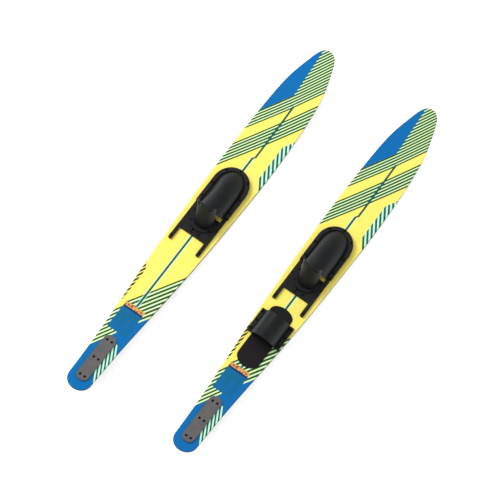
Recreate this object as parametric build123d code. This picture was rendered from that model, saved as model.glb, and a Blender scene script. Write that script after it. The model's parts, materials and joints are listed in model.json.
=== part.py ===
from build123d import *
import os
from math import cos, degrees, radians, sin

# A pair of adjustable combination water skis lying side by side, tips along +X.
# Each ski is built in its own frame: X runs forward from the tail end, Y to the left
# and Z up from the flat middle of the base. The finished ski is tipped forward until
# it rests on its fin and its forebody, and then moved to its place in the pair.

# ---- driving dimensions, millimetres ----
ski_length = 1702.0
thickness = 20.0             # at the flat middle
tail_thickness = 12.0
tip_thickness = 9.0
tail_rise = 28.0             # rocker of the base at the tail
tip_rise = 112.0             # and at the tip
base_flat = (766.0, 1020.0)  # the straight stretch of the base
deck_flat = (418.0, 1135.0)  # the straight stretch of the deck
tail_half_width = 48.8
tail_round = 48.0            # length of the elliptic tail end
side_points = [(300, 58.5), (600, 78.5), (900, 91), (1150, 96), (1330, 94), (1450, 88), (1550, 76),
               (1640, 51)]
pair_shift = (37.0, -448.0)  # the right ski from the left one

fin_plate_span = (40.0, 262.0)
fin_plate_half_width = 25.0
fin_plate_height = 5.0
fin_screw_x = (61.0, 149.0, 237.0)
fin_screw_y = 10.0
fin_flange_half_width = 19.0
fin_flange_height = 4.0
fin_root = (78.0, 238.0)
fin_foot = (98.0, 196.0)     # the lower edge, shorter than the root
fin_depth = 57.0
fin_thickness = 5.0
fin_corner = 12.0            # radius of the fin's lower corners
fin_head = 4.6               # radius of the fin screws' heads
fin_head_sink = 3.0          # how deep their seats lie in the plate
tunnel_half_width = 30.0
tunnel_depth = 2.5
tunnel_front = 745.0

rail_rear = 720.0
rail_front = 1036.0
rail_inner = 55.0
rail_outer = 69.5
rail_height = 8.0
groove_depth = 4.5           # the slot in each rail that guides the heel plate
groove_low = 2.5
groove_high = 6.0
frame_rear = 913.0
frame_arc_start = 1032.0     # where the straight arms turn into the front arc
frame_apex = 1114.0
frame_half_width = 72.0
frame_inner_half_width = 54.0
frame_height = 12.0
frame_lip = 2.0              # wall of the skirt that reaches down beside the rails
frame_screw_x = (935.0, 1003.0)
frame_screw_inset = 9.0      # from the outer edge to the row of screws
frame_screw_turn = 50.0      # degrees round the front arc to its side screws
flange_bite = 5.6            # how far a rubber flange reaches under its clamp
toe_plate_rear = 908.0
toe_plate_inset = 2.4
toe_pad_span = (911.0, 1066.0)
toe_pad_half_width = 44.0
toe_pad_arc = 60.0           # length of the pad's round front
pad_thickness = 3.5
overlay_rear = 906.0
overlay_height = 78.0
slider_span = (780.0, 888.0)
slider_half_width = 54.4
slider_height = 6.6
heel_rear = 819.0
heel_front = 886.0
heel_half_width = 38.0
heel_height = 140.0
finger_hole_radius = 8.5
finger_hole_y = 24.0
finger_hole_drop = 15.0      # from the top of the tab down to the holes
heel_foot_outset = 6.5       # width of the cup's foot flange
heel_clamp_outset = 15.0     # and of the ring that holds it
heel_screw_outset = 11.2
heel_screw_x = 872.0
heel_screw_turn = 55.0       # degrees round the ring from the tail to its rear screws
tab_corner = 18.0
lock_x = 796.0               # where the locking bars cross the heel plate
lock_travel = 5.0            # how far a finger tab is pinched inward
lock_bar_width = 13.0        # along the ski
lock_bar_room = 4.8          # height of the channel the bars run in
tab_span = (12.0, 18.0)      # the finger tab, across the ski
tab_height = 9.0
fork_reach = 6.0             # how near the middle a bar's fork comes
spring_coil = 1.5
spring_wire = 0.35
spring_turns = 8

pad_span = (425.0, 710.0)
clamp_span = (552.0, 662.0)
strap_half_width = 53.0
strap_height = 78.0
strap_lean = 23.0            # how far the top of the strap lies behind its foot
strap_screw_x = (566.0, 607.0, 648.0)
strap_screw_y = 62.5
strap_flange_edge = 70.5
strap_clamp_edge = 71.5
strap_clamp_height = 5.2
rail_screw_x = (734.0, 850.0)
rail_screw_y = 64.6

gap = 0.1                    # clearance between pieces that are bonded or screwed together
running_gap = 0.4            # clearance of a sliding piece
rubber = 4.0                 # wall of the moulded rubber
flange_height = 3.0          # rubber flanges held under clamps
insert_radius = 4.6
insert_depth = 11.0
screw_radius = 2.9
screw_hole = 3.1
head_height = 2.2
head_room = 0.5              # clearance round a screw head in its seat
wide_head = 5.0              # radius of the frame's and the strap's screw heads
small_head = 3.9             # and of the rails' and the heel ring's
deck = thickness             # height of the flat deck
plate_top = deck + rail_height
frame_top = plate_top + frame_height
slider_top = deck + running_gap + slider_height
lock_roof = deck + running_gap + lock_bar_room
heel_ring_top = slider_top + flange_height + 3.5

UP = (Align.CENTER, Align.CENTER, Align.MIN)
DOWN = (Align.CENTER, Align.CENTER, Align.MAX)


# ---- outlines and heights of the board ----
def base_height(x):
    """Height of the base, rising smoothly to the tail and to the tip."""
    if x < base_flat[0]:
        return tail_rise * ((base_flat[0] - x) / base_flat[0]) ** 2
    if x > base_flat[1]:
        return tip_rise * ((x - base_flat[1]) / (ski_length - base_flat[1])) ** 2.2
    return 0.0


def deck_height(x):
    """Height of the deck, which is flat wherever the bindings stand."""
    if x < deck_flat[0]:
        tail_climb = tail_rise + tail_thickness - thickness
        return thickness + tail_climb * ((deck_flat[0] - x) / deck_flat[0]) ** 1.6
    if x > deck_flat[1]:
        tip_climb = tip_rise + tip_thickness - thickness
        return thickness + tip_climb * ((x - deck_flat[1]) / (ski_length - deck_flat[1])) ** 1.92
    return thickness


fin_low = base_height(sum(fin_root) / 2) - fin_depth


def height_curve(height, start, end, lift, count=7):
    """A smooth line along the ski at a given lift above one of its surfaces."""
    stations = [start + (end - start) * i / (count - 1) for i in range(count)]
    return Spline(*[(x, 0, height(x) + lift) for x in stations])


def surface_line(height, flat, start, end):
    """The whole base or deck line: curved tail, straight middle, curved tip."""
    tail = height_curve(height, start, flat[0], 0)
    middle = Line((flat[0], 0, height(flat[0])), (flat[1], 0, height(flat[1])))
    tip = height_curve(height, flat[1], end, 0)
    return [tail, middle, tip]


def side_face(lower, upper):
    """Close two lines that run along the ski into a side-view face."""
    rear = Line(upper[0] @ 0, lower[0] @ 0)
    front = Line(lower[-1] @ 1, upper[-1] @ 1)
    return Face(Wire(lower + [front] + upper + [rear]))


def side_solid(face, half_width):
    """Widen a side-view face into a solid, evenly to both sides."""
    return extrude(face, amount=half_width, dir=(0, 1, 0), both=True)


def layer(outline, height, lift, depth, span):
    """A sheet of even depth that follows the base or the deck under an outline."""
    lower = height_curve(height, span[0], span[1], lift)
    upper = height_curve(height, span[0], span[1], lift + depth)
    band = side_solid(side_face([lower], [upper]), 2 * fin_plate_half_width)
    return extrude(outline, amount=4 * thickness, both=True) & band


def mid_height(x):
    """Half-way between the base and the deck."""
    return (base_height(x) + deck_height(x)) / 2


def rounded_bar(start, end, half_width, rear_round, front_round):
    """A long outline whose two ends are half ellipses of the given lengths."""
    rear = EllipticalCenterArc((start + rear_round, 0), rear_round, half_width, 90, arc_size=180)
    front = EllipticalCenterArc((end - front_round, 0), front_round, half_width, -90, arc_size=180)
    left = Line(front @ 1, rear @ 0)
    right = Line(rear @ 1, front @ 0)
    return make_face([rear, right, front, left])


def board_outline():
    """The ski seen from above: elliptic tail, swelling sides, rounded tip."""
    tail = EllipticalCenterArc((tail_round, 0), tail_round, tail_half_width, 90, arc_size=180)
    left_points = [(tail_round, tail_half_width)] + side_points + [(ski_length, 0)]
    left = Spline(*left_points, tangents=((1, 0.01), (0, -1)))
    right = mirror(left, about=Plane.XZ)
    return make_face([tail, left, right])


def d_outline(flat_end, round_end, half_width, arc_length):
    """Straight across at one end, half an ellipse at the other."""
    toward = 1 if round_end > flat_end else -1
    centre = round_end - toward * arc_length
    arc = EllipticalCenterArc((centre, 0), arc_length, half_width, -90 * toward, arc_size=180)
    back = Polyline(arc @ 1, (flat_end, (arc @ 1).Y), (flat_end, (arc @ 0).Y), arc @ 0)
    return make_face([arc, back])


def toe_outline(rear, inset):
    """The toe frame's outer outline, or one that lies inside it."""
    arc_length = frame_apex - frame_arc_start - inset
    return d_outline(rear, frame_apex - inset, frame_half_width - inset, arc_length)


def heel_outline(front, outset):
    """The heel cup's foot seen from above, or an outline around it."""
    half_width = heel_half_width + outset
    return d_outline(front, heel_rear - outset, half_width, half_width)


def upright(face, low, high):
    """A face drawn in plan, raised into a solid between two heights."""
    return Pos(0, 0, low) * extrude(face, amount=high - low)


def block(x_span, y_span, z_span):
    """A box between three pairs of limits."""
    corner = (Align.MIN, Align.MIN, Align.MIN)
    size = [span[1] - span[0] for span in (x_span, y_span, z_span)]
    return Pos(x_span[0], y_span[0], z_span[0]) * Box(*size, align=corner)


def both_sides(shape):
    """The shape and its mirror image about the ski's middle."""
    return shape + mirror(shape, about=Plane.XZ)


# ---- fasteners ----
def screw(length, head_radius):
    """A pan-head screw with a cross recess, its head resting at height 0."""
    head = Cylinder(head_radius, head_height, align=UP)
    rounding = 0.4 * head_height
    head = fillet(head.edges().group_by(Axis.Z)[-1], rounding)
    recess = Box(0.55 * head_height, 1.2 * head_radius, head_height, align=UP)
    recess += Rot(0, 0, 90) * recess
    return head - Pos(0, 0, rounding) * recess + Cylinder(screw_radius, length, align=DOWN)


def drill(solid, spots, radius=screw_hole):
    """Drill straight through a piece at each spot."""
    for x, y in spots:
        solid -= Pos(x, y, 0) * Cylinder(radius, 20 * thickness)
    return solid


def counterbore(solid, spots, seat, head_radius):
    """Open a round seat for a screw head at each spot, upward from the seat's height."""
    for x, y in spots:
        solid -= Pos(x, y, seat) * Cylinder(head_radius + head_room, 4 * thickness, align=UP)
    return solid


def screws(spots, seat, foot, head_radius):
    """One screw at each spot, from its seat down to the height of its point."""
    one = screw(seat - foot, head_radius)
    return Compound([Pos(x, y, seat) * one for x, y in spots])


def mirrored(spots):
    """The spots of the left side and the same spots of the right side."""
    return [(x, side * y) for x, y in spots for side in (1, -1)]


def ring_spot(centre_x, radius_x, radius_y, turn):
    """A place on an ellipse, at an angle in degrees from the +X side."""
    return (centre_x + radius_x * cos(radians(turn)), radius_y * sin(radians(turn)))


frame_arc = (frame_apex - frame_arc_start - frame_screw_inset, frame_half_width - frame_screw_inset)
frame_spots = mirrored([(x, frame_arc[1]) for x in frame_screw_x])
frame_spots += mirrored([ring_spot(frame_arc_start, *frame_arc, frame_screw_turn)])
frame_spots.append((frame_arc_start + frame_arc[0], 0.0))
rail_spots = mirrored([(x, rail_screw_y) for x in rail_screw_x])
heel_ring = heel_half_width + heel_screw_outset
heel_spots = mirrored([(heel_screw_x, heel_ring),
                       ring_spot(heel_rear + heel_half_width, -heel_ring, heel_ring, heel_screw_turn)])
strap_spots = mirrored([(x, strap_screw_y) for x in strap_screw_x])
fin_spots = mirrored([(x, fin_screw_y) for x in fin_screw_x])
frame_seat = frame_top - 2.8
rail_seat = plate_top - 2.6
heel_seat = heel_ring_top - 2.1
strap_clamp_top = deck + gap + flange_height + strap_clamp_height
strap_seat = strap_clamp_top - 2.6


# ---- the board, its inserts and its fin ----
def ski_board(insert_spots):
    """The moulded board: rounded deck rim, bevelled base rim, tunnel and screw holes."""
    overhang = 8.0
    base_line = surface_line(base_height, base_flat, -overhang, ski_length + overhang)
    deck_line = surface_line(deck_height, deck_flat, -overhang, ski_length + overhang)
    slab = side_solid(side_face(base_line, deck_line), 2 * tail_half_width + overhang)
    board = extrude(board_outline(), amount=2 * tip_rise, both=True) & slab
    rims = board.edges().filter_by(GeomType.LINE, reverse=True)
    deck_rim = [edge for edge in rims if (edge @ 0.5).Z > mid_height((edge @ 0.5).X)]
    board = fillet(deck_rim, 3.0)
    rims = board.edges().filter_by(GeomType.LINE, reverse=True)
    base_rim = [edge for edge in rims if (edge @ 0.5).Z < base_height((edge @ 0.5).X) + 1]
    board = chamfer(base_rim, 3.0)
    tunnel_span = (-4 * overhang, tunnel_front)
    tunnel = rounded_bar(*tunnel_span, tunnel_half_width, overhang, 2 * tunnel_half_width)
    board -= layer(tunnel, base_height, -overhang, overhang + tunnel_depth, tunnel_span)
    board = drill(board, fin_spots)
    for x, y in insert_spots:
        socket = Cylinder(insert_radius + gap, insert_depth + gap, align=DOWN)
        board -= Pos(x, y, deck) * socket
    return board


def threaded_inserts(spots):
    """Metal bushes moulded into the deck, one under every binding screw."""
    bush = Cylinder(insert_radius, insert_depth - gap, align=DOWN)
    bush -= Cylinder(screw_hole, insert_depth - 1.5, align=DOWN)
    groove = Cylinder(insert_radius + 1, 0.8, align=DOWN)
    groove -= Cylinder(insert_radius - 0.5, 0.8, align=DOWN)
    for share in (0.3, 0.6):
        bush -= Pos(0, 0, -share * insert_depth) * groove
    return Compound([Pos(x, y, deck - gap) * bush for x, y in spots])


def fin_plate():
    """The long plate on the tail that spreads the pull of the fin screws."""
    outline = rounded_bar(*fin_plate_span, fin_plate_half_width, 24.0, 26.0)
    plate = layer(outline, deck_height, gap, fin_plate_height, fin_plate_span)
    plate = drill(plate, fin_spots)
    for x, y in fin_spots:
        plate = counterbore(plate, [(x, y)], fin_seat(x), fin_head)
    return plate


def fin_seat(x):
    """Height of the seat of a fin screw's head."""
    return deck_height(x) + gap + fin_plate_height - fin_head_sink


def fin():
    """The fin and its foot flange, moulded in one and sunk into the tunnel."""
    lift = tunnel_depth - gap - fin_flange_height
    flange_span = (fin_plate_span[0] + 5, fin_plate_span[1] - 5)
    outline = rounded_bar(*flange_span, fin_flange_half_width, 16.0, 16.0)
    flange = layer(outline, base_height, lift, fin_flange_height, flange_span)
    corners = [(fin_root[0], base_height(fin_root[0])), (fin_foot[0], fin_low),
               (fin_foot[1], fin_low), (fin_root[1], base_height(fin_root[1]))]
    side = make_face(Polyline(*corners, close=True))
    side = fillet(side.vertices().group_by(Axis.Y)[0], fin_corner)
    blade = extrude(Plane.XZ * side, amount=fin_thickness / 2, both=True)
    return drill(flange + blade, fin_spots, screw_radius + gap)


def fin_screws():
    """Six screws through plate and board into the fin's flange."""
    foot_lift = tunnel_depth - fin_flange_height
    lengths = [(x, y, fin_seat(x) - base_height(x) - foot_lift) for x, y in fin_spots]
    return Compound([Pos(x, y, fin_seat(x)) * screw(length, fin_head) for x, y, length in lengths])


# ---- the toe end of the binding ----
def toe_plate():
    """The base plate under the toes, between the rails and then as wide as the frame."""
    plate = upright(toe_outline(toe_plate_rear, toe_plate_inset), deck + gap, plate_top + gap)
    beside_rail = block((toe_plate_rear - 1, rail_front + 1), (rail_inner - running_gap, 2 * rail_outer),
                        (0, 2 * plate_top))
    return drill(plate - both_sides(beside_rail), frame_spots)


def toe_pad():
    """A thin foam footbed inside the toe overlay."""
    outline = d_outline(*toe_pad_span, toe_pad_half_width, toe_pad_arc)
    return upright(outline, plate_top + 2 * gap, plate_top + pad_thickness)


def toe_frame():
    """The raised horseshoe that clamps the overlay over the rails and the toe plate."""
    wall = frame_half_width - frame_inner_half_width
    outer = toe_outline(frame_rear, 0)
    rim = upright(outer - toe_outline(frame_rear - 1, wall), plate_top, frame_top)
    rim = fillet(rim.edges().group_by(Axis.Z)[-1], 3.5)
    lip = upright(outer - toe_outline(frame_rear - 1, frame_lip), deck + 2 * gap, plate_top + 1)
    rim = Pos(0, 0, 2 * gap) * rim + lip
    recess = toe_outline(frame_rear - 1, wall - flange_bite - 2 * gap)
    rim -= upright(recess, plate_top, plate_top + flange_height + 3 * gap)
    rim = drill(rim, frame_spots)
    return counterbore(rim, frame_spots, frame_seat, wide_head)


def arch_section(x, half_width, height, lean, base):
    """Half an ellipse standing across the ski, leaning back by an angle in degrees."""
    tilt = radians(lean)
    stand = Plane(origin=(x, 0, base), x_dir=(0, 1, 0), z_dir=(cos(tilt), 0, sin(tilt)))
    arc = EllipticalCenterArc((0, 0), half_width, height, 0, arc_size=180)
    return stand * make_face([arc, Line(arc @ 1, arc @ 0)])


def toe_overlay():
    """The rubber toe piece: a vault closed at the toes, with a flange all round its foot."""
    stations = [(overlay_rear, 50.5, 1.09, 28), (950.0, 51.0, 1.0, 16), (1000.0, 50.0, 0.88, 7),
                (1040.0, 46.0, 0.64, 0), (1068.0, 36.0, 0.43, 0), (1086.0, 20.0, 0.22, 0)]
    base = plate_top + 2 * gap
    outer = loft([arch_section(x, w, overlay_height * h, lean, base) for x, w, h, lean in stations])
    hollow = loft([arch_section(x - 0.01, w - rubber, overlay_height * h - rubber, lean, base - 0.01)
                   for x, w, h, lean in stations])
    wall = frame_half_width - frame_inner_half_width
    flange = upright(toe_outline(frame_rear, wall - flange_bite), base, base + flange_height)
    return outer + flange - hollow


# ---- the heel end of the binding ----
def rail():
    """The left rail, with the guide slot in its inner face."""
    bar = block((rail_rear, rail_front), (rail_inner, rail_outer), (deck + gap, plate_top))
    bar = fillet(bar.edges().filter_by(Axis.Z).group_by(Axis.X)[0], 4.0)
    slot = block((rail_rear - 1, frame_rear - 2), (rail_inner - 1, rail_inner + groove_depth),
                 (deck + groove_low, deck + groove_high))
    spots = [(x, y) for x, y in rail_spots if y > 0]
    bar = drill(bar - slot, spots + [(x, y) for x, y in frame_spots if y > 0 and x < rail_front])
    return counterbore(bar, spots, rail_seat, small_head)


def heel_slider():
    """The plate that carries the heel cup and runs between the rails."""
    bottom = deck + running_gap
    plate = block(slider_span, (-slider_half_width, slider_half_width), (bottom, slider_top))
    plate = fillet(plate.edges().group_by(Axis.Z)[-1], 1.2)
    reach = rail_inner + groove_depth - running_gap
    tongue_heights = (deck + groove_low + running_gap, deck + groove_high - running_gap)
    plate += block(slider_span, (-reach, reach), tongue_heights)
    half = lock_bar_width / 2 + running_gap
    channel = (lock_x - half, lock_x + half)
    plate -= block(channel, (-reach - 1, reach + 1), (bottom - 1, lock_roof))
    tab_room = 1.5 * running_gap
    slot_width = (tab_span[0] - lock_travel - tab_room, tab_span[1] + tab_room)
    plate -= both_sides(block(channel, slot_width, (bottom, slider_top + 1)))
    return drill(plate, heel_spots, screw_radius + gap)


def lock_bar():
    """The left locking bar: finger tab, tooth in the rail's slot, fork round the spring's end."""
    half = lock_bar_width / 2
    low = deck + 2 * running_gap
    high = lock_roof - running_gap
    width = (lock_x - half, lock_x + half)
    bar = block(width, (tab_span[0], slider_half_width - 2), (low, high))
    tooth = block((lock_x - half / 2, lock_x + half / 2), (tab_span[0], rail_inner + groove_depth - 1),
                  (deck + groove_low + 0.7, high))
    tab = block(width, tab_span, (low, slider_top + tab_height))
    tab = fillet(tab.edges().group_by(Axis.Z)[-1], 2.0)
    spring_room = spring_coil + spring_wire + running_gap
    fork = block(width, (fork_reach, tab_span[0]), (low, high))
    fork -= block((lock_x - spring_room, lock_x + spring_room), (0, tab_span[0]), (low - 1, high + 1))
    return bar + tooth + tab + fork


def lock_spring():
    """The compression spring that keeps the two bars apart."""
    length = 2 * (tab_span[0] - gap - spring_wire)
    path = Helix(pitch=length / spring_turns, height=length, radius=spring_coil)
    start = Plane(origin=path @ 0, z_dir=path % 0)
    coil = sweep(start * Circle(spring_wire), path=path)
    middle = (deck + 2 * running_gap + lock_roof - running_gap) / 2
    return Pos(lock_x, length / 2, middle) * Rot(90, 0, 0) * coil


def heel_cup():
    """The rubber heel piece: a horseshoe wall leaning forward to a tab with two finger holes."""
    base = slider_top + gap
    top = base + heel_height
    rear = heel_rear - 9
    stations = [(0.0, 0.0, 0.0, 1.0), (0.5, 10.0, 2.0, 0.88), (1.0, 27.0, 5.0, 0.7)]
    outer = loft([cup_section(base, heel_front, 0, station) for station in stations])
    hollow = loft([cup_section(base - 1, heel_front + 9, rubber, station) for station in stations])
    rise = Spline((heel_front, 0, base + 22), (863, 0, base + 60), (861, 0, top + 1),
                  tangents=((-0.6, 0, 1), (0, 0, 1)))
    frame = Polyline(rise @ 1, (rear, 0, top + 1), (rear, 0, base - 1), (heel_front, 0, base - 1), rise @ 0)
    wall = (outer - hollow) & side_solid(Face(Wire([rise] + frame.edges())), 2 * heel_half_width)
    tab_half_width = heel_half_width + 8
    front_view = make_face(Polyline((-tab_half_width, base - 1), (tab_half_width, base - 1),
                                    (tab_half_width, top), (-tab_half_width, top), close=True))
    front_view = fillet(front_view.vertices().group_by(Axis.Y)[-1], tab_corner)
    wall &= Pos(rear, 0, 0) * extrude(Plane.YZ * front_view, amount=heel_height)
    for hole_y in (-finger_hole_y, finger_hole_y):
        finger = Rot(0, 90, 0) * Cylinder(finger_hole_radius, 80)
        wall -= Pos(heel_rear + 20, hole_y, top - finger_hole_drop) * finger
    foot = upright(heel_outline(heel_front - 0.5, heel_foot_outset), base, base + flange_height)
    foot -= upright(heel_outline(heel_front + 1, -0.5), base - 1, base + rubber)
    return wall + foot


def cup_section(base, front, inset, station):
    """One level of the heel cup: share of its height, forward lean, flare, depth of its arc."""
    level, lean, flare, squat = station
    half_width = heel_half_width + flare - inset
    outline = d_outline(front, heel_rear + lean + inset, half_width, half_width * squat)
    return Pos(0, 0, base + level * heel_height) * outline


def heel_pad():
    """The foam footbed under the heel."""
    inset = rubber + 1.5
    half_width = heel_half_width - inset
    outline = d_outline(heel_front - 1, heel_rear + inset, half_width, half_width)
    return upright(outline, slider_top + gap, slider_top + 4.0)


def heel_clamp():
    """The horseshoe ring that screws the heel cup's flange to the heel plate."""
    inner = heel_outline(heel_front - 1, 0.3)
    ring = upright(heel_outline(heel_front - 3, heel_clamp_outset), slider_top + gap, heel_ring_top)
    ring = fillet(ring.edges().group_by(Axis.Z)[-1], 1.0)
    ring -= upright(inner, slider_top - 1, heel_ring_top + 1)
    recess = heel_outline(heel_front, heel_foot_outset + gap)
    ring -= upright(recess, slider_top - 1, slider_top + flange_height + 2 * gap)
    ring = drill(ring, heel_spots)
    return counterbore(ring, heel_spots, heel_seat, small_head)


# ---- the rear toe strap of the right ski ----
def rear_pad():
    """The foam footbed for the rear foot."""
    outline = rounded_bar(*pad_span, 48.2, 38.0, 30.0)
    return fillet(upright(outline, deck + gap, deck + 5).edges().group_by(Axis.Z)[-1], 1.5)


def rear_strap():
    """The rubber arch over the rear foot, with a flange along each side."""
    base = deck + gap
    reach = clamp_span[1] - clamp_span[0] + 4 * strap_lean
    arch = arch_section(0, strap_half_width, strap_height, 0, base)
    arch -= arch_section(0, strap_half_width - rubber, strap_height - rubber, 0, base)
    arch = Pos(clamp_span[0] - 2 * strap_lean, 0, 0) * extrude(arch, amount=reach, dir=(1, 0, 0))
    corners = [(clamp_span[0], 0, base), (clamp_span[1], 0, base),
               (clamp_span[1] - strap_lean, 0, base + strap_height + 1),
               (clamp_span[0] - strap_lean, 0, base + strap_height + 1)]
    arch &= side_solid(Face(Wire(Polyline(*corners, close=True).edges())), 2 * strap_half_width)
    flange = block(clamp_span, (strap_half_width - 2, strap_flange_edge), (base, base + flange_height))
    return drill(arch + both_sides(flange), strap_spots)


def strap_clamp():
    """The left strip that screws the strap's flange to the deck."""
    strip = block(clamp_span, (strap_half_width + 1, strap_clamp_edge),
                  (deck + 2 * gap + flange_height, strap_clamp_top))
    strip = fillet(strip.edges().group_by(Axis.Z)[-1], 1.5)
    spots = [(x, y) for x, y in strap_spots if y > 0]
    return counterbore(drill(strip, spots), spots, strap_seat, wide_head)


# ---- the two skis ----
def front_binding():
    """Every piece that both skis have on their deck, by name."""
    insert_foot = deck - insert_depth + 2
    right_rail = mirror(rail(), about=Plane.XZ)
    right_bar = mirror(lock_bar(), about=Plane.XZ)
    return {
        "fin_plate": fin_plate(),
        "fin": fin(),
        "fin_screws": fin_screws(),
        "toe_plate": toe_plate(),
        "toe_pad": toe_pad(),
        "toe_overlay": toe_overlay(),
        "toe_frame": toe_frame(),
        "toe_frame_screws": screws(frame_spots, frame_seat, insert_foot, wide_head),
        "rail_left": rail(),
        "rail_right": right_rail,
        "rail_screws": screws(rail_spots, rail_seat, insert_foot, small_head),
        "heel_slider": heel_slider(),
        "heel_pad": heel_pad(),
        "heel_cup": heel_cup(),
        "heel_clamp": heel_clamp(),
        "heel_clamp_screws": screws(heel_spots, heel_seat, deck + running_gap + 1, small_head),
        "lock_bar_left": lock_bar(),
        "lock_bar_right": right_bar,
        "lock_spring": lock_spring(),
    }


def rear_binding():
    """The rear toe strap that only the slalom ski carries."""
    return {
        "rear_pad": rear_pad(),
        "rear_strap": rear_strap(),
        "rear_clamp_left": strap_clamp(),
        "rear_clamp_right": mirror(strap_clamp(), about=Plane.XZ),
        "rear_clamp_screws": screws(strap_spots, strap_seat, deck - insert_depth + 2, wide_head),
    }


def rest_angle():
    """How far a ski tips forward, in radians, when its fin and its forebody both touch the floor."""
    low, high = 0.0, 0.2
    for _ in range(50):
        angle = (low + high) / 2
        fin_drop = lowest([(fin_foot[1] - fin_corner, fin_low + fin_corner)], angle) - fin_corner
        forebody = [(x, base_height(x)) for x in range(int(base_flat[1]), int(ski_length))]
        if fin_drop < lowest(forebody, angle):
            low = angle
        else:
            high = angle
    return low


def lowest(points, angle):
    """The lowest height that side-view points have once tipped forward."""
    return min(z * cos(angle) - x * sin(angle) for x, z in points)


shared = front_binding()
left_spots = frame_spots + rail_spots
right_spots = left_spots + strap_spots
left_ski = {"left_ski_board": ski_board(left_spots), "left_ski_inserts": threaded_inserts(left_spots)}
right_ski = {"right_ski_board": ski_board(right_spots), "right_ski_inserts": threaded_inserts(right_spots)}
for name, shape in shared.items():
    left_ski["left_ski_" + name] = shape
    right_ski["right_ski_" + name] = shape
for name, shape in rear_binding().items():
    right_ski["right_ski_" + name] = shape

tipped = Rot(0, degrees(rest_angle()), 0)
beside = Pos(pair_shift[0], pair_shift[1], 0)
pieces = {name: tipped * shape for name, shape in left_ski.items()}
pieces.update({name: beside * tipped * shape for name, shape in right_ski.items()})

# The origin is the middle of the pair's outer box, on the floor.
box = Compound(list(pieces.values())).bounding_box()
to_origin = Pos(-box.center().X, -box.center().Y, -box.min.Z)

os.makedirs("parts", exist_ok=True)
for name, shape in pieces.items():
    export_step(to_origin * shape, "parts/" + name + ".step")
print("pieces", len(pieces), "box", box.size, "tipped by degrees", degrees(rest_angle()))
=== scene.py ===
import json
import math

import bmesh
import bpy
import numpy as np
from mathutils import Matrix, Vector


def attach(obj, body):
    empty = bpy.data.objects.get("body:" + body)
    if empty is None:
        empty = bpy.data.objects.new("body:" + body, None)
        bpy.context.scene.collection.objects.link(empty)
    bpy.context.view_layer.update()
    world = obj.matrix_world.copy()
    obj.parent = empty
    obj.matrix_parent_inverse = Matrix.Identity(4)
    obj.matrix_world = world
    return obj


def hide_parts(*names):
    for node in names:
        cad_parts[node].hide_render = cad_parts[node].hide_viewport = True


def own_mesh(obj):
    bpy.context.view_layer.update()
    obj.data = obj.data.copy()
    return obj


# The looks of a pair of combo water skis. Shapes are written in each ski's own frame, in
# millimetres: x forward from the tail end, y to the left, z up from the flat of the base.

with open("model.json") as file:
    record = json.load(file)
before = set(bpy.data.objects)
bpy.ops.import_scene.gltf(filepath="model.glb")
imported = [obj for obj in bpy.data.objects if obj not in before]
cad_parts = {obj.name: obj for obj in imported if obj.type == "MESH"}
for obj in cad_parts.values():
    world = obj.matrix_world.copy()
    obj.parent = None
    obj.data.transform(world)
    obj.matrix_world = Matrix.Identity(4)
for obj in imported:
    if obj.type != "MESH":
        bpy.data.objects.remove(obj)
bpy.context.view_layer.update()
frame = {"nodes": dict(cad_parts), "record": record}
nodes = frame["nodes"]

# ---- where the two skis stand ----
MM = 0.001
TIPPED = math.radians(2.5047)                   # a ski at rest tips forward onto its forebody
SKIS = {"left_ski": Vector((-0.871918, 0.224, 0.047647)),
        "right_ski": Vector((-0.834918, -0.224, 0.047647))}
PLACES = {ski: Matrix.Translation(spot) @ Matrix.Rotation(TIPPED, 4, "Y") @ Matrix.Scale(MM, 4)
          for ski, spot in SKIS.items()}

# ---- levels and sizes that the soft pieces share with the CAD solids ----
PLATE_TOP = 28.2
SLIDER_TOP = 27.1
DECK_TOP = 20.1
WALL = 3.6                                      # thickness of the moulded rubber
FLANGE_INSET = 12.4                             # from the toe frame's edge to the rubber flange
FRAME_HALF_WIDTH = 72.0
FRAME_ARC_START = 1032.0
FRAME_APEX = 1114.0

# ---- colours, linear ----
YELLOW = (0.95, 0.80, 0.15, 1)
BLUE = (0.0, 0.135, 0.40, 1)
DARK_GREEN = (0.022, 0.075, 0.012, 1)
PALE_GREEN = (0.68, 0.92, 0.50, 1)
TEAL = (0.008, 0.105, 0.10, 1)
MINT = (0.54, 0.90, 0.66, 1)
NAVY = (0.004, 0.035, 0.11, 1)
ORANGE = (0.66, 0.36, 0.11, 1)
RUST = (0.34, 0.06, 0.02, 1)
GRAPHITE = (0.03, 0.03, 0.033, 1)
BLACK_PLASTIC = (0.0075, 0.0075, 0.0085, 1)
BLACK_RUBBER = (0.005, 0.0058, 0.0065, 1)
FOAM = (0.009, 0.0075, 0.008, 1)
FIN_GREY = (0.085, 0.08, 0.08, 1)
BLACK_STEEL = (0.014, 0.014, 0.016, 1)
BRIGHT_STEEL = (0.55, 0.55, 0.56, 1)
BRASS = (0.60, 0.42, 0.16, 1)


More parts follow.
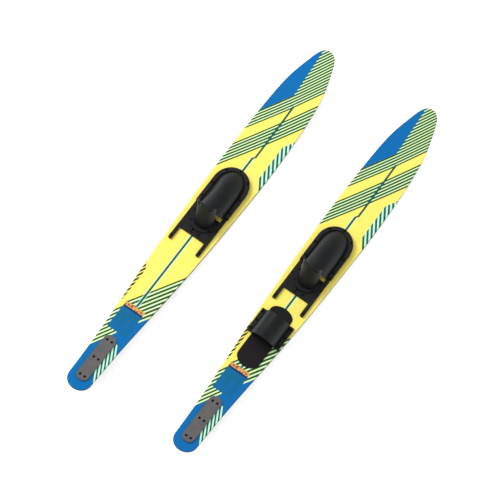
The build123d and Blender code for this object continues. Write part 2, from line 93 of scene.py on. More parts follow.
# ---- numbers and colours that vary over a surface ----
class Field:
    """A number that varies over a surface, wired out of shader math nodes."""

    def __init__(self, tree, socket):
        self.tree = tree
        self.socket = socket

    def math(self, operation, *others):
        node = self.tree.nodes.new("ShaderNodeMath")
        node.operation = operation
        for place, value in enumerate((self, *others)):
            if isinstance(value, Field):
                self.tree.links.new(value.socket, node.inputs[place])
            else:
                node.inputs[place].default_value = value
        return Field(self.tree, node.outputs[0])

    def __add__(self, other):
        return self.math("ADD", other)

    def __sub__(self, other):
        return self.math("SUBTRACT", other)

    def __mul__(self, other):
        return self.math("MULTIPLY", other)

    def __truediv__(self, other):
        return self.math("DIVIDE", other)

    def above(self, limit):
        return self.math("GREATER_THAN", limit)

    def below(self, limit):
        return self.math("LESS_THAN", limit)

    def between(self, low, high):
        return self.above(low) * self.below(high)

    def either(self, other):
        return self.math("MAXIMUM", other)

    def without(self, other):
        return (self - other).math("MAXIMUM", 0.0)

    def bars(self, first, pitch, share):
        """1 on even bars across this field, one centred on first, each a share of the pitch wide."""
        turns = (self - first) / pitch + share / 2
        return turns.math("FRACT").below(share)

    def ranged(self, low, high):
        """This 0 to 1 field, stretched between two values."""
        return self * (high - low) + low


def node_field(tree, kind, output, **settings):
    """A texture or input node, read as a field. Settings that name an input are its values."""
    node = tree.nodes.new(kind)
    for name, value in settings.items():
        if isinstance(value, Field):
            tree.links.new(value.socket, node.inputs[name])
        elif hasattr(node, name):
            setattr(node, name, value)
        else:
            node.inputs[name].default_value = value
    return Field(tree, node.outputs[output])


def split(tree, vector):
    """The three parts of a vector field."""
    node = tree.nodes.new("ShaderNodeSeparateXYZ")
    tree.links.new(vector.socket, node.inputs[0])
    return [Field(tree, output) for output in node.outputs]


def joined(tree, *parts):
    """A vector field of three numbers or fields."""
    node = tree.nodes.new("ShaderNodeCombineXYZ")
    for place, part in enumerate(parts):
        tree.links.new(part.socket, node.inputs[place])
    return Field(tree, node.outputs[0])


def painted(tree, under, mask, over):
    """Colour over laid on colour under where the mask is 1."""
    node = tree.nodes.new("ShaderNodeMix")
    node.data_type = "RGBA"
    tree.links.new(mask.socket, node.inputs[0])
    for place, colour in ((6, under), (7, over)):
        if isinstance(colour, Field):
            tree.links.new(colour.socket, node.inputs[place])
        else:
            node.inputs[place].default_value = colour
    return Field(tree, node.outputs[2])


def place_on(tree, ski):
    """The x, y and z of a point in a ski's own frame, in millimetres."""
    spot = SKIS[ski]
    across, left, up = split(tree, node_field(tree, "ShaderNodeTexCoord", "Object"))
    across = (across - spot.x) / MM
    up = (up - spot.z) / MM
    x = across * math.cos(TIPPED) - up * math.sin(TIPPED)
    z = across * math.sin(TIPPED) + up * math.cos(TIPPED)
    return x, (left - spot.y) / MM, z


def noise(tree, point, scale, detail=4.0, roughness=0.5):
    """Cloudy noise between 0 and 1; scale is cycles per unit of the point."""
    return node_field(tree, "ShaderNodeTexNoise", 0, Vector=point, Scale=scale, Detail=detail,
                      Roughness=roughness)


def cells(tree, point, scale):
    """Distance to the middle of scattered cells."""
    return node_field(tree, "ShaderNodeTexVoronoi", "Distance", Vector=point, Scale=scale)


class Surface:
    """A material with one principled shader, whose inputs take numbers, colours or fields."""

    def __init__(self, name):
        self.material = bpy.data.materials.new(name)
        self.material.use_nodes = True
        self.tree = self.material.node_tree
        self.shader = self.tree.nodes["Principled BSDF"]

    def set(self, **values):
        for name, value in values.items():
            socket = self.shader.inputs[name.replace("_", " ")]
            if isinstance(value, Field):
                self.tree.links.new(value.socket, socket)
            else:
                socket.default_value = value

    def bump(self, height, distance, strength):
        node = self.tree.nodes.new("ShaderNodeBump")
        node.inputs["Strength"].default_value = strength
        node.inputs["Distance"].default_value = distance * MM
        self.tree.links.new(height.socket, node.inputs["Height"])
        self.tree.links.new(node.outputs[0], self.shader.inputs["Normal"])


# ---- the printed board ----
# A stripe's place is where it crosses the middle line, in millimetres from the tail end.
FORWARD_LEAN = 1.77                             # how far the long stripes run forward to the right
TAIL_LEAN = 1.95                                # and the stripes left of the tail
WEDGE_LEAN = 2.0                                # how far the tail's wedge runs forward to the left
SIDE_LEAN = 1.67                                # and the wedge beside the toes
PANEL_REAR = 286.0
PANEL_FRONT = 414.0
PANEL_LEFT = 44.0
PANEL_RIGHT = -40.5
BAND_REAR = 389.0                               # the navy band and the speckled bar end the panel
BAR_REAR = 397.0
TAIL_FIELD = (277.0, 474.0)
FIRST_FIELD = (289.0, 486.5)
SECOND_FIELD = (1245.0, 1363.5)
TIP_FIELD = 1430.0
TIP_FAN = 0.09                                  # how much the tip's stripes turn, left of the middle
TIP_SETBACK = 1.0                               # of the tip's stripes, from the places given
TIP_BLUE = 1519.0
LINE_SPAN = (415.0, 1452.0)
LINE_HALF_WIDTH = 4.0
LINE_EDGE = 7.6                                 # half-width with its pale edges, behind the step
LINE_STEP_X = 1189.0                            # where the line steps aside, ahead of the binding
LINE_STEP_LENGTH = 9.0
LINE_STEP = 7.5


def striped(tree, under, field, bars, gap, ink):
    """Stripes laid on a colour inside a field: ink on the bars, another colour in the gaps."""
    return painted(tree, under, field, painted(tree, gap, bars, ink))


def tail_print(tree, x, y):
    """Yellow with a blue tail, stripes on both sides, and a panel that ends in a speckled bar."""
    tail_left = x + y * TAIL_LEAN
    left_edge = y.above(PANEL_LEFT)
    tail_end = left_edge * tail_left.above(TAIL_FIELD[1])
    colour = painted(tree, YELLOW, x.below(PANEL_FRONT).without(tail_end), BLUE)
    left_field = tail_left.between(*TAIL_FIELD) * left_edge.either(x.below(PANEL_REAR) * y.above(1.0))
    left_bars = tail_left.bars(first=303.0, pitch=27.2, share=0.52)
    colour = striped(tree, colour, left_field, left_bars, PALE_GREEN, DARK_GREEN)
    across = x - y * WEDGE_LEAN
    wedge = across.between(151.0, 312.0) * y.below(-25.0) * x.below(243.0)
    wedge_bars = across.bars(first=163.0, pitch=27.6, share=0.5)
    colour = striped(tree, colour, wedge, wedge_bars, TEAL, MINT)
    panel = x.between(PANEL_REAR, PANEL_FRONT) * y.between(PANEL_RIGHT, PANEL_LEFT)
    band = noise(tree, joined(tree, x * 0.3, y, x * 0.0), 0.05, detail=3.0)
    shaded = painted(tree, BLUE, band.ranged(-0.5, 1.1), TEAL)
    colour = painted(tree, colour, panel, shaded)
    colour = painted(tree, colour, panel * x.above(BAND_REAR), NAVY)
    specks = noise(tree, joined(tree, x, y, x * 0.0), 0.11, detail=2.0).above(0.54)
    return painted(tree, colour, panel * x.above(BAR_REAR), painted(tree, ORANGE, specks, RUST))


def middle_print(tree, colour, x, y):
    """The stripes ahead of the panel with dashes beside them, and those round the toes."""
    forward = x + y * FORWARD_LEAN
    first = x.above(PANEL_FRONT).either(y.below(PANEL_RIGHT)) * forward.between(*FIRST_FIELD)
    first_bars = forward.bars(first=482.0, pitch=28.4, share=0.56)
    colour = striped(tree, colour, first, first_bars, PALE_GREEN, DARK_GREEN)
    dashes = y.above(59.5) * (x - y * WEDGE_LEAN).below(440.0) * x.above(410.0)
    dash_bars = (x + y * TAIL_LEAN).bars(first=555.0, pitch=26.2, share=0.66)
    colour = painted(tree, colour, dashes * dash_bars, DARK_GREEN)
    across = x - y * SIDE_LEAN
    side = across.above(1247.0) * forward.below(1175.0) * y.below(-66.5)
    side_bars = across.bars(first=1255.0, pitch=29.5, share=0.52)
    colour = striped(tree, colour, side, side_bars, MINT, TEAL)
    second_bars = forward.bars(first=1250.0, pitch=21.8, share=0.6)
    return striped(tree, colour, forward.between(*SECOND_FIELD), second_bars, PALE_GREEN, DARK_GREEN)


def tip_print(tree, colour, x, y):
    """The fanned stripes of the tip, with the blue corner on their left."""
    fanned = x + y * FORWARD_LEAN - y.math("MAXIMUM", 0.0) * TIP_FAN + TIP_SETBACK
    tip_bars = fanned.bars(first=1434.5, pitch=19.6, share=0.6)
    colour = striped(tree, colour, fanned.above(TIP_FIELD), tip_bars, PALE_GREEN, DARK_GREEN)
    blue_edge = y - (x - 1484.0) * 0.038
    return painted(tree, colour, fanned.above(TIP_BLUE) * blue_edge.above(16.5), BLUE)


def middle_line(tree, colour, x, y):
    """The line down the middle, which steps aside ahead of the binding."""
    step = ((x - LINE_STEP_X) / LINE_STEP_LENGTH).math("MAXIMUM", 0.0).math("MINIMUM", 1.0)
    off_line = (y + step * LINE_STEP).math("ABSOLUTE")
    along = x.between(*LINE_SPAN)
    edges = along * off_line.below(LINE_EDGE) * x.below(LINE_STEP_X)
    colour = painted(tree, colour, edges * 0.6, MINT)
    return painted(tree, colour, along * off_line.below(LINE_HALF_WIDTH), TEAL)


def deck_print(tree, x, y):
    """The whole print of the deck, laid on from the tail to the tip."""
    colour = tail_print(tree, x, y)
    colour = middle_print(tree, colour, x, y)
    colour = tip_print(tree, colour, x, y)
    return middle_line(tree, colour, x, y)


def board_material(ski):
    """Glossy printed deck, dark moulded sides and base, with fine scratches."""
    surface = Surface(ski + "_printed_board")
    tree = surface.tree
    x, y, z = place_on(tree, ski)
    facing = split(tree, node_field(tree, "ShaderNodeTexCoord", "Normal"))[2]
    point = joined(tree, x, y, z)
    ink = noise(tree, point, 0.9, detail=3.0)
    top = painted(tree, deck_print(tree, x, y), ink.ranged(0.0, 0.09), (0.12, 0.14, 0.10, 1))
    weave = noise(tree, joined(tree, x * 0.06, y, z), 0.8, detail=5.0)
    dark = painted(tree, GRAPHITE, weave, (0.05, 0.05, 0.055, 1))
    on_deck = facing.above(0.35)
    scratches = noise(tree, joined(tree, x * 0.02, y, z * 0.5), 1.6, detail=6.0, roughness=0.65)
    scuffed = scratches.above(0.66)
    dark = painted(tree, dark, scuffed * 0.35, (0.16, 0.16, 0.165, 1))
    ripple = noise(tree, point, 0.05, detail=2.0)
    surface.set(Base_Color=painted(tree, dark, on_deck, top),
                Roughness=scratches.ranged(0.24, 0.42) + facing.below(0.35) * 0.12,
                Specular_IOR_Level=0.05)
    surface.bump(ripple * 0.8 + scratches * 0.2, 0.12, 0.5)
    return surface.material


# ---- the other materials ----
SCUFF = 0.35                                    # how far a scuff on moulded plastic turns pale


def object_point(tree):
    """Where a point is on the object, in millimetres."""
    parts = split(tree, node_field(tree, "ShaderNodeTexCoord", "Object"))
    return joined(tree, *[part / MM for part in parts])


def moulded(name, colour, rough, specular, grain):
    """Moulded plastic: an eroded fine grain, slow colour drift and pale scuffs."""
    surface = Surface(name)
    tree = surface.tree
    point = object_point(tree)
    drift = noise(tree, point, 0.03, detail=3.0)
    fine = noise(tree, point, grain, detail=3.0, roughness=0.6)
    rubbed = noise(tree, point, 0.11, detail=6.0, roughness=0.7).above(0.63) * fine
    pale = tuple(part * 2.2 + 0.004 for part in colour[:3]) + (1,)
    tinted = painted(tree, colour, drift.ranged(-0.15, 0.35), pale)
    surface.set(Base_Color=painted(tree, tinted, rubbed * SCUFF, pale),
                Roughness=fine.ranged(rough - 0.08, rough + 0.1) + rubbed * 0.1,
                Specular_IOR_Level=specular)
    surface.bump(fine, 0.05, 0.6)
    return surface.material


def rubber(name):
    """Soft moulded rubber: a satin skin with faint flow marks and fine pits."""
    surface = Surface(name)
    tree = surface.tree
    point = object_point(tree)
    bloom = noise(tree, point, 0.035, detail=5.0)
    pits = cells(tree, point, 1.1)
    marks = noise(tree, point, 0.5, detail=4.0)
    dusty = (0.0115, 0.013, 0.0145, 1)
    surface.set(Base_Color=painted(tree, BLACK_RUBBER, bloom.ranged(-0.3, 0.8), dusty),
                Roughness=marks.ranged(0.42, 0.62),
                Specular_IOR_Level=0.16)
    surface.bump(pits * 0.4 + marks * 0.6, 0.10, 0.45)
    return surface.material


def foam(name):
    """Closed-cell foam pressed with a diamond grip and open pores."""
    surface = Surface(name)
    tree = surface.tree
    point = object_point(tree)
    x, y, _ = split(tree, point)
    ridges = ((x + y) * 0.8).math("SINE").either(((x - y) * 0.8).math("SINE"))
    pores = cells(tree, point, 1.6)
    drift = noise(tree, point, 0.05, detail=4.0)
    surface.set(Base_Color=painted(tree, FOAM, drift.ranged(-0.1, 0.6), (0.02, 0.017, 0.018, 1)),
                Roughness=pores.ranged(0.72, 0.88), Specular_IOR_Level=0.12)
    surface.bump(ridges * 0.7 + pores * 0.3, 0.35, 0.7)
    return surface.material


def metal(name, colour, rough):
    """Turned or drawn metal with fine tool marks and handling stains."""
    surface = Surface(name)
    tree = surface.tree
    point = object_point(tree)
    marks = noise(tree, point, 3.0, detail=4.0)
    stain = noise(tree, point, 0.25, detail=4.0)
    dull = tuple(part * 0.6 for part in colour[:3]) + (1,)
    surface.set(Base_Color=painted(tree, colour, stain, dull), Metallic=1.0,
                Roughness=marks.ranged(rough, rough + 0.2))
    surface.bump(marks, 0.03, 0.5)
    return surface.material


finishes = {
    "binding_plastic": moulded("black_nylon", BLACK_PLASTIC, 0.5, 0.2, 0.9),
    "binding_rubber": rubber("black_rubber"),
    "foam": foam("black_foam"),
    "fin_plastic": moulded("grey_fin_plastic", FIN_GREY, 0.55, 0.3, 0.7),
    "screw_steel": metal("blackened_steel", BLACK_STEEL, 0.35),
    "spring_steel": metal("bright_steel", BRIGHT_STEEL, 0.25),
    "insert_brass": metal("brass", BRASS, 0.3),
}
boards = {ski: board_material(ski) for ski in SKIS}
slot_of = {part["node"]: part["material_slot"] for part in frame["record"]["subparts"]}


def give(piece, material):
    """Make a material the only one of a piece."""
    piece.data.materials.clear()
    piece.data.materials.append(material)


for name, node in nodes.items():
    ski = name[:name.index("_ski") + 4]
    give(node, boards[ski] if slot_of[name] == "deck_print" else finishes[slot_of[name]])


# ---- mesh building ----
SMOOTHING = 2                                   # subdivision levels of a soft piece


def curve_through(table):
    """A smooth function that goes through a table of (position, value) pairs."""
    spots, values = zip(*table)
    slopes = np.gradient(np.array(values, float), np.array(spots, float))

    def value_at(spot):
        spot = min(max(spot, spots[0]), spots[-1])
        place = min(int(np.searchsorted(spots, spot, side="right")) - 1, len(spots) - 2)
        width = spots[place + 1] - spots[place]
        t = (spot - spots[place]) / width
        value = (1 + 2 * t) * (1 - t) ** 2 * values[place]
        value += t * (1 - t) ** 2 * width * slopes[place]
        value += t * t * (3 - 2 * t) * values[place + 1]
        value += t * t * (t - 1) * width * slopes[place + 1]
        return float(value)

    return value_at


def sheet_of(rows, closed=False):
    """A bmesh of quads between rows of points, each row closed into a ring if asked."""
    mesh = bmesh.new()
    grid = [[mesh.verts.new(point) for point in row] for row in rows]
    count = len(rows[0])
    for near, far in zip(grid, grid[1:]):
        for i in range(count if closed else count - 1):
            j = (i + 1) % count
            mesh.faces.new((near[i], near[j], far[j], far[i]))
    return mesh, grid


def finish_piece(name, mesh, ski, body, replaced, material, thickness=None):
    """Turn a bmesh in a ski's frame into a smooth piece that rides on a body for a CAD node."""
    bmesh.ops.recalc_face_normals(mesh, faces=mesh.faces)
    data = bpy.data.meshes.new(name)
    mesh.to_mesh(data)
    mesh.free()
    piece = bpy.data.objects.new(name, data)
    bpy.context.scene.collection.objects.link(piece)
    if thickness:
        wall = piece.modifiers.new("wall", "SOLIDIFY")
        wall.thickness = thickness
        wall.offset = -1.0
    smooth = piece.modifiers.new("smooth", "SUBSURF")
    smooth.levels = SMOOTHING
    smooth.render_levels = SMOOTHING
    shape = bpy.data.meshes.new_from_object(piece.evaluated_get(bpy.context.evaluated_depsgraph_get()))
    piece.modifiers.clear()
    piece.data = shape
    shape.transform(PLACES[ski])
    shape.name = name
    for face in shape.polygons:
        face.use_smooth = True
    give(piece, material)
    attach(piece, body)
    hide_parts(replaced)
    return piece


# ---- the toe piece ----
overlay_half_width = curve_through([(906, 49.2), (950, 49.8), (1000, 48.8), (1040, 44.8), (1068, 35.5),
                                    (1086, 23.5), (1097, 7.0)])
overlay_height = curve_through([(906, 76.5), (950, 74.5), (1000, 66.5), (1040, 49.0), (1068, 32.0),
                                (1086, 15.5), (1097, 3.4)])
OVERLAY_REAR = 906.0
FLANGE = 3.0                                    # how high a rubber flange's top is above its seat
SQUEEZE = {"left_ski": 10.0, "right_ski": 4.0}  # how far each toe piece is pressed in on its left
SQUEEZE_X = 968.0
SQUEEZE_REACH = 48.0
DROOP = 8.0                                     # how far the rear of the crown hangs back
DROOP_REACH = 60.0
DROOP_RISE = 76.0                               # above the flange, where the droop is full
ROLL_LENGTH = 7.0                               # the rolled rear edge
ROLL_BULGE = 1.3
overlay_lean = curve_through([(906, 28), (950, 16), (1000, 7), (1040, 0), (1097, 0)])


def flange_edge(x):
    """Half-width of the rubber flange that the toe frame clamps."""
    straight = FRAME_HALF_WIDTH - FLANGE_INSET
    reach = (x - FRAME_ARC_START) / (FRAME_APEX - FRAME_ARC_START - FLANGE_INSET)
    return straight * math.sqrt(max(0.0, 1 - max(0.0, reach) ** 2))


def overlay_row(x, squeeze):
    """One cross-section of the toe piece, from its left flange edge over to the right one."""
    pinch = squeeze * math.exp(-((x - SQUEEZE_X) / SQUEEZE_REACH) ** 2)
    height = overlay_height(x)
    lean = math.tan(math.radians(overlay_lean(x)))
    droop = DROOP * max(0.0, 1 - (x - OVERLAY_REAR) / DROOP_REACH)
    bulge = ROLL_BULGE * math.sqrt(max(0.0, 1 - (x - OVERLAY_REAR) / ROLL_LENGTH))
    outer = max(flange_edge(x), 1.5)
    foot = min(overlay_half_width(x), outer - 1.0)
    top = PLATE_TOP + FLANGE

    def leaned(y, z):
        return x - (z - top) * lean - droop * ((z - top) / DROOP_RISE) ** 4, y, z

    side = [(outer, top), (0.5 * (outer + foot) + 0.6, top), (foot + 0.8, top + 0.4)]
    for degrees in (9, 20, 33, 47, 62, 76):
        angle = math.radians(degrees)
        side.append(((foot + bulge) * math.cos(angle), top + (height - FLANGE + bulge) * math.sin(angle)))
    half = [leaned(y, z) for y, z in side]
    crown = leaned(0.0, top + height - FLANGE + bulge)
    vault = [(px, y * (1 - pinch / foot), z) for px, y, z in half[2:]]
    return half[:2] + vault + [crown] + [(px, -y, z) for px, y, z in reversed(half)]


def toe_overlay(ski):
    """The rubber toe piece: an open vault with a rolled rear edge and a clamped flange."""
    stations = [906, 907.5, 909.5, 912.5, 917, 925, 937, 950, 965, 982, 1000, 1018, 1034, 1050, 1063,
                1074, 1083, 1090, 1095, 1099, 1101]
    mesh, _ = sheet_of([overlay_row(x, SQUEEZE[ski]) for x in stations])
    finish_piece(ski + "_soft_toe_piece", mesh, ski, ski, ski + "_toe_overlay",
                 finishes["binding_rubber"], WALL)


# ---- the heel piece ----
HEEL_REAR = 819.0
HEEL_HALF_WIDTH = 37.2
HEEL_HEIGHT = 140.0
HEEL_LEVELS = 20
HEEL_COLUMNS = 14                               # on each side of the middle of the heel
HOLE_Y = 24.0
HOLE_DROP = 15.0
HOLE_RADIUS = 8.5
HOLE_CELLS = 2                                  # rows and columns that a hole's rings take, each way
HEEL_SWAY = {"left_ski": 12.0, "right_ski": 5.0}  # how far each tab leans to the left
CORNER_SHARE = 0.62                             # where the tab's rounded upper corners start
CORNER_LEVEL = 0.86
CORNER_DROP = 0.115
RIM_SHARE = 0.9                                 # where the thick free edge starts
RIM_LEVEL = 0.955
RIM_SWELL = 0.8
heel_lean = curve_through([(0.0, 0.0), (0.25, 2.6), (0.5, 9.6), (0.75, 18.0), (1.0, 27.0)])
heel_flare = curve_through([(0.0, 0.0), (0.5, 2.0), (1.0, 5.0)])
heel_squat = curve_through([(0.0, 1.0), (0.5, 0.86), (1.0, 0.5)])
heel_front = curve_through([(0.0, 886.0), (0.12, 885.0), (0.22, 879.0), (0.34, 868.5), (0.45, 863.5),
                            (0.7, 861.0), (1.0, 860.5)])


class HeelLevel:
    """The heel piece's outline at one share of its height."""

    def __init__(self, level, sway):
        self.half_width = HEEL_HALF_WIDTH + heel_flare(level)
        self.depth = self.half_width * heel_squat(level)
        self.centre = HEEL_REAR + 0.8 + heel_lean(level) + self.depth
        self.front = heel_front(level)
        self.height = SLIDER_TOP + level * HEEL_HEIGHT
        self.sway = sway * level ** 2
        self.turn = math.pi / 2
        if self.front < self.centre:
            self.turn = math.acos((self.centre - self.front) / self.depth)
        self.arc = self.turn * math.sqrt((self.half_width ** 2 + self.depth ** 2) / 2)
        self.straight = max(0.0, self.front - self.centre)
        self.length = self.arc + self.straight

    def point(self, share, out=0.0):
        """A point at a signed share of the way from the middle of the heel to the front edge."""
        along = abs(share) * self.length
        if along < self.arc:
            turn = along / self.arc * self.turn
            x = self.centre - (self.depth + out) * math.cos(turn)
            y = (self.half_width + out) * math.sin(turn)
        else:
            x = self.centre + along - self.arc
            y = self.half_width + out
        return Vector((x, math.copysign(y, share) + self.sway, self.height))


def corner_cut(level, share):
    """How far the tab's rounded upper corners pull a point down, as a share of the height."""
    past = (abs(share) - CORNER_SHARE) / (1 - CORNER_SHARE)
    if past <= 0 or level < CORNER_LEVEL:
        return 0.0
    rounding = 1 - math.sqrt(max(0.0, 1 - past ** 2))
    return CORNER_DROP * rounding * (level - CORNER_LEVEL) / (1 - CORNER_LEVEL)


def heel_rim(level, share):
    """How far the thick free edge of the heel piece stands out."""
    side = max(0.0, (abs(share) - RIM_SHARE) / (1 - RIM_SHARE))
    top = max(0.0, (level - RIM_LEVEL) / (1 - RIM_LEVEL))
    return RIM_SWELL * math.sqrt(min(1.0, max(side, top)))


def heel_cup(side, ski):
    """The rubber heel piece: a wall round the heel that rises to a tab with two finger holes."""
    def at(level, share, out=0.0):
        low = level - corner_cut(level, share)
        return HeelLevel(low, HEEL_SWAY[ski]).point(share, out + heel_rim(level, share))

    levels = [i / HEEL_LEVELS for i in range(HEEL_LEVELS + 1)]
    shares = [i / HEEL_COLUMNS for i in range(-HEEL_COLUMNS, HEEL_COLUMNS + 1)]
    rows = [[at(level, share) for share in shares] for level in levels]
    foot = [[at(0.0, share, out) + Vector((0, 0, up)) for share in shares]
            for out, up in ((5.6, 3.0), (3.2, 3.0), (1.0, 3.6))]
    rows[0] = [point + Vector((0, 0, 5.0)) for point in rows[0]]
    mesh, grid = sheet_of(foot + rows)
    hole_level = 1 - HOLE_DROP / HEEL_HEIGHT
    row = len(foot) + round(hole_level * HEEL_LEVELS)
    outline = HeelLevel(hole_level, 0.0)
    hole_turn = math.asin(HOLE_Y / outline.half_width)
    hole_share = hole_turn / outline.turn * outline.arc / outline.length
    column = round(hole_share * HEEL_COLUMNS)
    for sign in (-1, 1):
        cut_finger_hole(mesh, grid, row, HEEL_COLUMNS + sign * column, outline, hole_level,
                        sign * hole_share, at)
    finish_piece(ski + "_soft_heel_piece", mesh, ski, side + "_heel_piece", ski + "_heel_cup",
                 finishes["binding_rubber"], WALL)


def cut_finger_hole(mesh, grid, row, column, outline, level, share, at):
    """Replace a block of the wall with rings that close in on a round hole with a raised rim."""
    reach = HOLE_CELLS
    inner = range(1 - reach, reach)
    block = [grid[row + i][column + j] for i in inner for j in inner]
    ring = [grid[row - reach][column + j] for j in range(-reach, reach)]
    ring += [grid[row + i][column + reach] for i in range(-reach, reach)]
    ring += [grid[row + reach][column - j] for j in range(-reach, reach)]
    ring += [grid[row - i][column - reach] for i in range(-reach, reach)]
    bmesh.ops.delete(mesh, geom=block, context="VERTS")
    for radius, lift in ((HOLE_RADIUS + 3.4, 0.1), (HOLE_RADIUS + 1.9, 1.3), (HOLE_RADIUS, 1.1)):
        circle = []
        for i in range(len(ring)):
            turn = math.radians(225 + 360 * i / len(ring))
            across = share + radius * math.cos(turn) / outline.length
            up = level + radius * math.sin(turn) / HEEL_HEIGHT
            circle.append(mesh.verts.new(at(up, across, lift)))
        for i in range(len(ring)):
            j = (i + 1) % len(ring)
            mesh.faces.new((ring[i], ring[j], circle[j], circle[i]))
        ring = circle


# ---- the rear toe strap ----
STRAP_REAR = 552.0
STRAP_FRONT = 662.0
STRAP_HALF_WIDTH = 52.4
STRAP_HEIGHT = 77.2
STRAP_LEAN = 23.0
STRAP_FLANGE_EDGE = 70.3
STRAP_BEAD = 0.9                                # how far its thick edges stand out
STRAP_WAIST = 2.0                               # how far it dips between them


def strap_row(share):
    """One line across the strap, at a share of the way from its rear edge to its front edge."""
    along = STRAP_REAR + share * (STRAP_FRONT - STRAP_REAR)
    bead = STRAP_BEAD * max(0.0, 1 - 14 * min(share, 1 - share))
    waist = STRAP_WAIST * math.sin(math.pi * share)
    base = DECK_TOP + FLANGE
    half = [(along, STRAP_FLANGE_EDGE, base), (along, 62.0, base),
            (along, STRAP_HALF_WIDTH + 1.6, base + 0.2)]
    for degrees in (5, 14, 25, 37, 50, 63, 77, 90):
        angle = math.radians(degrees)
        y = (STRAP_HALF_WIDTH + bead) * math.cos(angle)
        z = base + (STRAP_HEIGHT - FLANGE - waist + bead) * math.sin(angle)
        half.append((along - STRAP_LEAN * (z - base) / STRAP_HEIGHT, y, z))
    return half + [(x, -y, z) for x, y, z in reversed(half[:-1])]


def rear_strap(ski):
    """The rubber strap over the rear foot, with beaded edges and flanges under its clamps."""
    shares = [0, 0.015, 0.045, 0.08, 0.16, 0.28, 0.4, 0.52, 0.64, 0.76, 0.86, 0.92, 0.955, 0.985, 1]
    mesh, _ = sheet_of([strap_row(share) for share in shares])
    finish_piece(ski + "_soft_rear_strap", mesh, ski, ski, ski + "_rear_strap",
                 finishes["binding_rubber"], WALL)


# ---- the foam footbeds ----
EDGE_DROP = 0.35                                # share of a pad's thickness that its rim rounds off
UNDERCUT = 0.4                                  # how far its underside is set in from its edge


def pad(name, ski, body, replaced, stations, edge, low, high, crown):
    """A foam pad: rounded rims, a flat underside and a slightly crowned top."""
    rows = []
    for x in stations:
        half_width = max(edge(x), 0.6)
        swell = crown * min(1.0, half_width / edge(stations[len(stations) // 2]))
        row = []
        for share in (-1.0, -0.985, -0.93, -0.8, -0.5, 0.0, 0.5, 0.8, 0.93, 0.985, 1.0):
            row.append((x, share * half_width, high - EDGE_DROP * (high - low) * abs(share) ** 24
                        + swell * (1 - share ** 2) - crown))
        for share in (1.0, 0.8, 0.0, -0.8, -1.0):
            row.append((x, share * (half_width - UNDERCUT), low))
        rows.append(row)
    mesh, grid = sheet_of(rows, closed=True)
    for row in (grid[0], grid[-1]):
        mesh.faces.new(row)
    piece = finish_piece(name, mesh, ski, body, replaced, finishes["foam"])
    return piece


def half_ellipse(start, end, x):
    """A rounded end of an outline: 0 at start, 1 from end onward."""
    share = (x - end) / (start - end)
    return math.sqrt(max(0.0, 1 - share ** 2)) if 0 < share < 1 else float(share <= 0)


def toe_pad_edge(x):
    return 43.6 * half_ellipse(1066.0, 1006.0, x)


def heel_pad_edge(x):
    return 32.2 * half_ellipse(824.5, 857.0, x)


def rear_pad_edge(x):
    return 47.8 * min(half_ellipse(425.0, 463.0, x), half_ellipse(710.0, 680.0, x))


def eased(start, end, count):
    """Places that crowd toward start and end."""
    return [start + (end - start) * (1 - math.cos(math.pi * i / (count - 1))) / 2 for i in range(count)]


# ---- the lock springs ----
def lock_spring(side, ski):
    """A coil between the two locking bars, copied from the CAD spring and carried on the heel piece."""
    node = nodes[ski + "_lock_spring"]
    coil = bpy.data.objects.new(ski + "_coil", node.data.copy())
    bpy.context.scene.collection.objects.link(coil)
    coil.matrix_world = node.matrix_world
    give(coil, finishes["spring_steel"])
    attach(coil, side + "_heel_piece")
    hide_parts(node.name)
    side + "_lock_pinch_left"
    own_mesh(coil)


for ski in SKIS:
    side = ski.split("_")[0]
    lock_spring(side, ski)
    toe_overlay(ski)
    heel_cup(side, ski)
    pad(ski + "_soft_toe_pad", ski, ski, ski + "_toe_pad", eased(911.5, 1065.5, 26), toe_pad_edge,
        PLATE_TOP + 0.1, PLATE_TOP + 3.3, 0.4)
    pad(ski + "_soft_heel_pad", ski, side + "_heel_piece", ski + "_heel_pad", eased(825.0, 884.5, 18),
        heel_pad_edge, SLIDER_TOP + 0.1, SLIDER_TOP + 3.9, 0.4)
rear_strap("right_ski")
pad("right_ski_soft_rear_pad", "right_ski", "right_ski", "right_ski_rear_pad", eased(425.3, 709.7, 34),
    rear_pad_edge, DECK_TOP + 0.1, DECK_TOP + 4.9, 0.5)


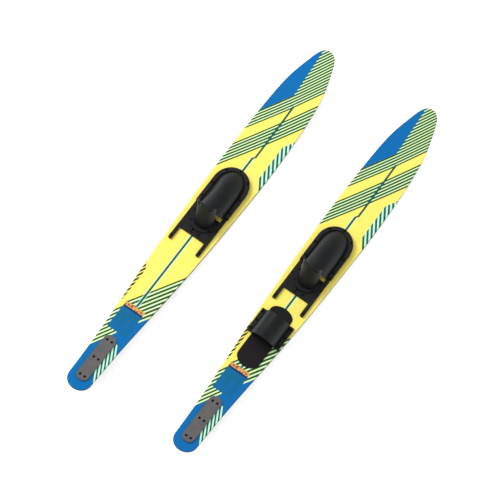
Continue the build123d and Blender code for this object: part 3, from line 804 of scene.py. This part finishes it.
# ---- floor, light and camera ----
FLOOR_GLOW = 0.5                                # keeps the floor near white round the skis


def stage_floor():
    """A plain pale floor."""
    bpy.ops.mesh.primitive_plane_add(size=60)
    floor = bpy.context.object
    floor.name = "floor"
    surface = Surface("pale_floor")
    surface.set(Base_Color=(0.93, 0.93, 0.93, 1), Roughness=0.9, Specular_IOR_Level=0.0,
                Emission_Color=(1, 1, 1, 1), Emission_Strength=FLOOR_GLOW)
    give(floor, surface.material)


def area_light(name, spot, aim, size, power):
    """A square soft light that faces a point."""
    light = bpy.data.lights.new(name, "AREA")
    light.shape = "SQUARE"
    light.size = size
    light.energy = power
    lamp = bpy.data.objects.new(name, light)
    bpy.context.scene.collection.objects.link(lamp)
    lamp.location = spot
    lamp.rotation_euler = (Vector(aim) - Vector(spot)).to_track_quat("-Z", "Y").to_euler()


def studio():
    """Even light from all round, and one soft lamp high on the left."""
    world = bpy.data.worlds.new("studio")
    bpy.context.scene.world = world
    world.use_nodes = True
    background = world.node_tree.nodes["Background"]
    background.inputs["Color"].default_value = (1, 1, 1, 1)
    background.inputs["Strength"].default_value = 0.80
    area_light("key", (0.2, 3.4, 3.4), (0, 0, 0), 2.4, 170)


def camera():
    """A long lens from behind, above and a little to the right, rolled so the tips point up right."""
    distance = 14.67
    aim = Vector((0.0077, 0.0223, 0.0))
    azimuth = math.radians(-161.96)
    elevation = math.radians(66.466)
    roll = math.radians(17.66)
    away = Vector((math.cos(elevation) * math.cos(azimuth), math.cos(elevation) * math.sin(azimuth),
                   math.sin(elevation)))
    lens = bpy.data.cameras.new("camera")
    lens.sensor_width = 36
    lens.lens = 281.9
    lens.clip_end = 100
    view = bpy.data.objects.new("camera", lens)
    bpy.context.scene.collection.objects.link(view)
    turn = (-away).to_track_quat("-Z", "Y").to_matrix().to_4x4() @ Matrix.Rotation(roll, 4, "Z")
    view.matrix_world = Matrix.Translation(aim + away * distance) @ turn
    bpy.context.scene.camera = view


stage_floor()
studio()
camera()
bpy.context.scene.view_settings.view_transform = "Standard"
